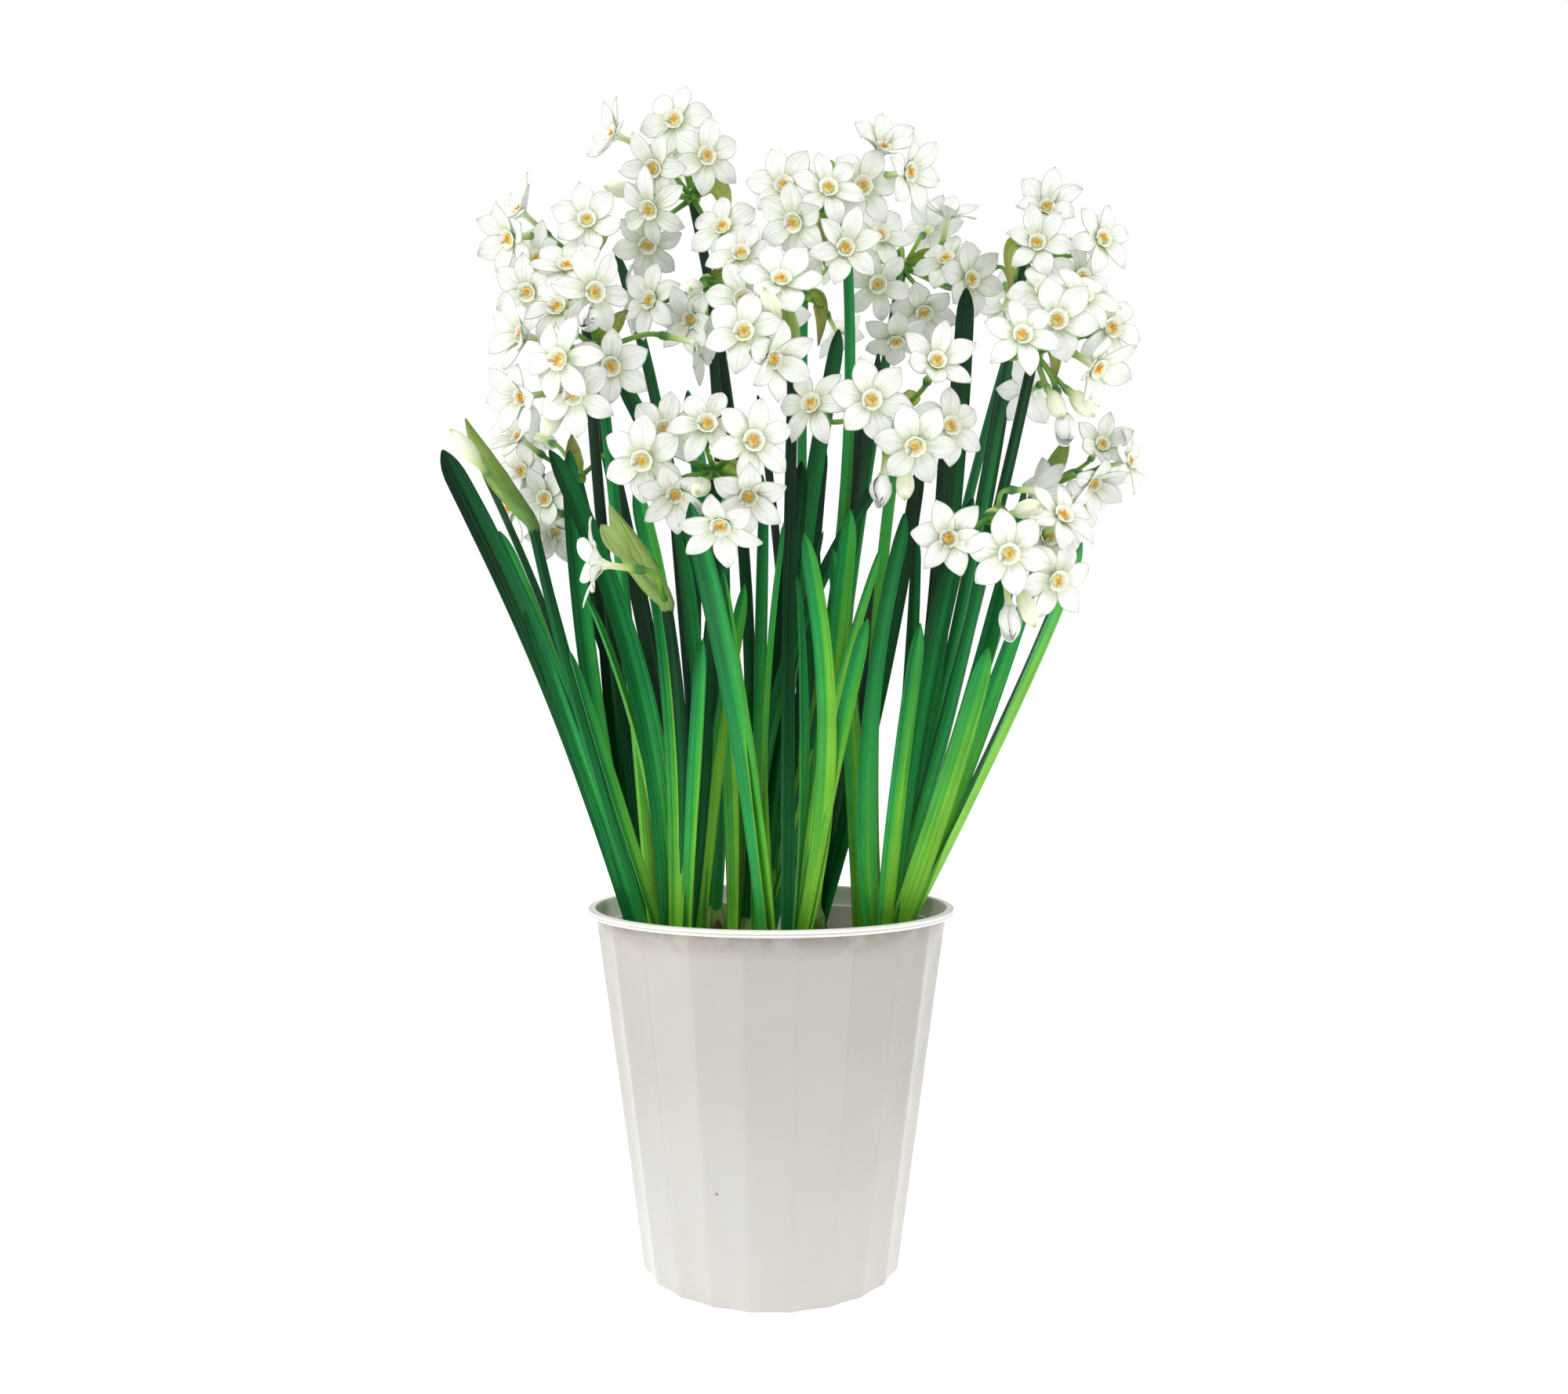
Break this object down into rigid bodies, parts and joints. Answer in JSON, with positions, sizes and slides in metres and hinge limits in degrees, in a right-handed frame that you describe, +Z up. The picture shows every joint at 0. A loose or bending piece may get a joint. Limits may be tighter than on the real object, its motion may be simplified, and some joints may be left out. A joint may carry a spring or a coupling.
{
  "type": "potted paperwhite narcissus",
  "caption": "Clump of paperwhite narcissus with strap leaves and umbels of small white flowers, growing from bulbs in a tapered fluted plastic pot.",
  "frame": {"origin": "middle of the pot's flat underside, on its upright axis", "axes": "+Z up along the pot's axis, +X to the plant's right seen from the show side, -Y towards the viewer of the show side"},
  "size_m": [0.3352, 0.2635, 0.5362],
  "materials": {
    "pot": "gloss",
    "soil": "matte",
    "bulb": "matte",
    "leaf": "satin",
    "petal": "matte"
  },
  "bodies": {
    "root": {"pot": "pot", "soil": "soil", "bulb_1": "bulb", "bulb_2": "bulb", "bulb_3": "bulb", "bulb_4": "bulb", "bulb_5": "bulb", "bulb_6": "bulb", "bulb_7": "bulb", "bulb_8": "bulb", "shoot_1": "leaf", "shoot_2": "leaf", "shoot_3": "leaf", "shoot_4": "leaf", "shoot_5": "leaf", "shoot_6": "leaf", "shoot_7": "leaf", "shoot_8": "leaf", "head_01": "petal", "head_02": "petal", "head_03": "petal", "head_04": "petal", "head_05": "petal", "head_06": "petal", "head_07": "petal", "head_08": "petal", "head_09": "petal", "head_10": "petal", "head_11": "petal", "head_12": "petal", "head_13": "petal", "head_14": "petal", "head_15": "petal", "head_16": "petal", "head_17": "petal", "head_18": "petal"}
  },
  "joints": []
}
